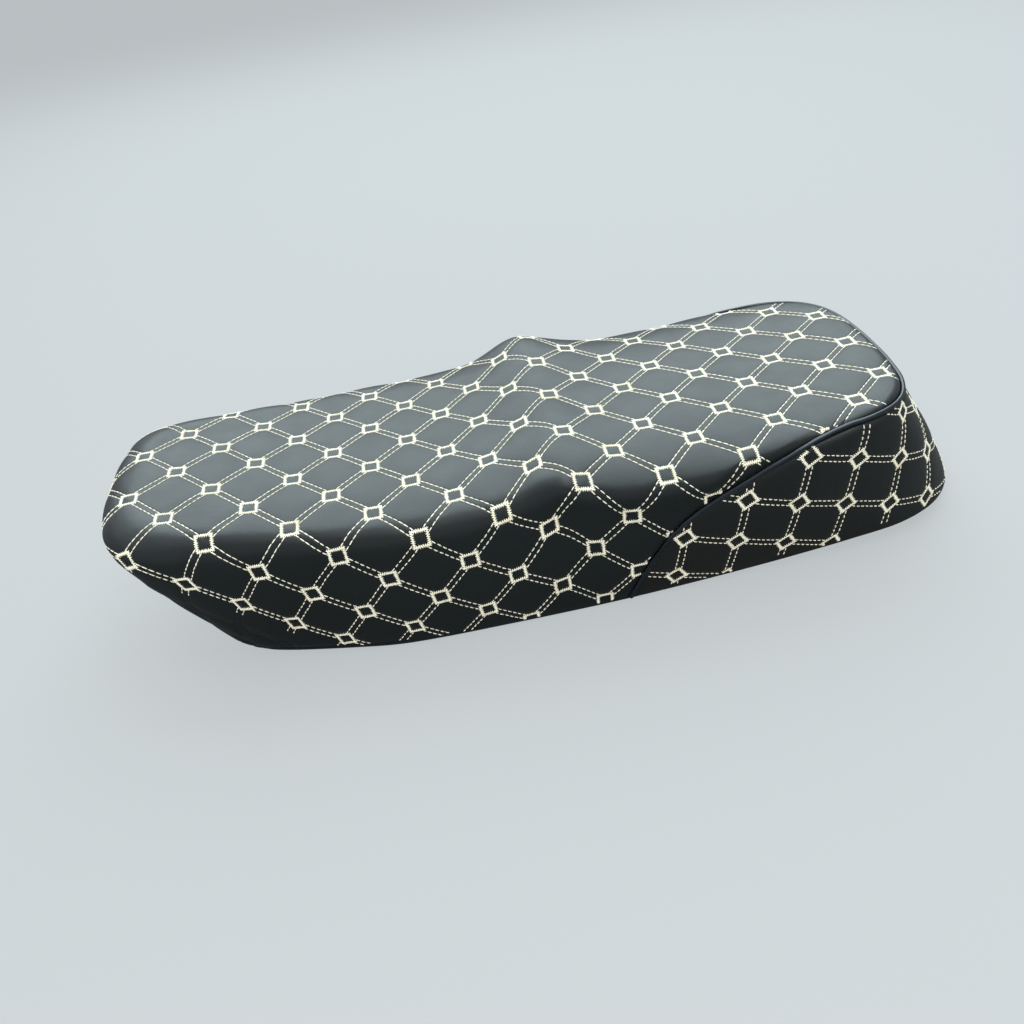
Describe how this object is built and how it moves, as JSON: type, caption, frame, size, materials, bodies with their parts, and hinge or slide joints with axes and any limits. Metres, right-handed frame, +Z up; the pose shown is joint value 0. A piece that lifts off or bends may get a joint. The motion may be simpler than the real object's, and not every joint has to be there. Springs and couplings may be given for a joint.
{
  "type": "motorcycle seat",
  "caption": "Long bench motorcycle seat: quilted leatherette cover with a cross ridge between rider and passenger, piped rear skirt, foam, base pan, hook and brackets.",
  "frame": {"origin": "centre of the seat's box in plan, at the height of the lowest edge of its flanks", "axes": "+X to the front of the motorcycle, +Y to the rider's left, +Z up"},
  "size_m": [0.7232, 0.2596, 0.1469],
  "materials": {
    "top_leatherette": "satin black grained leatherette, quilted, with a cool sheen",
    "skirt_leatherette": "satin black grained leatherette, quilted",
    "piping_vinyl": "glossy black vinyl piping",
    "seat_foam": "open-cell polyurethane foam, pale yellow",
    "pan_plastic": "moulded black polypropylene, fine spark texture",
    "buffer_rubber": "black moulded rubber",
    "painted_steel": "black powder coat on steel plate",
    "zinc_steel": "bright zinc plated steel",
    "stitch_thread": "thick cream polyester thread",
    "staple_steel": "bare steel staple wire"
  },
  "bodies": {
    "root": {"top_cover": "top_leatherette", "rear_skirt_cover": "skirt_leatherette", "piping_cord": "piping_vinyl", "foam_cushion": "seat_foam", "base_pan": "pan_plastic", "buffer_front_left": "buffer_rubber", "buffer_front_right": "buffer_rubber", "buffer_mid_front_left": "buffer_rubber", "buffer_mid_front_right": "buffer_rubber", "buffer_mid_rear_left": "buffer_rubber", "buffer_mid_rear_right": "buffer_rubber", "buffer_rear_left": "buffer_rubber", "buffer_rear_right": "buffer_rubber", "front_hook_plate": "painted_steel", "rear_bracket_left": "painted_steel", "rear_bracket_right": "painted_steel", "hook_left_washer": "zinc_steel", "hook_left_bolt": "zinc_steel", "hook_left_nut": "zinc_steel", "hook_right_washer": "zinc_steel", "hook_right_bolt": "zinc_steel", "hook_right_nut": "zinc_steel", "bracket_left_inner_washer": "zinc_steel", "bracket_left_inner_bolt": "zinc_steel", "bracket_left_inner_nut": "zinc_steel", "bracket_left_outer_washer": "zinc_steel", "bracket_left_outer_bolt": "zinc_steel", "bracket_left_outer_nut": "zinc_steel", "bracket_right_inner_washer": "zinc_steel", "bracket_right_inner_bolt": "zinc_steel", "bracket_right_inner_nut": "zinc_steel", "bracket_right_outer_washer": "zinc_steel", "bracket_right_outer_bolt": "zinc_steel", "bracket_right_outer_nut": "zinc_steel"}
  },
  "joints": []
}
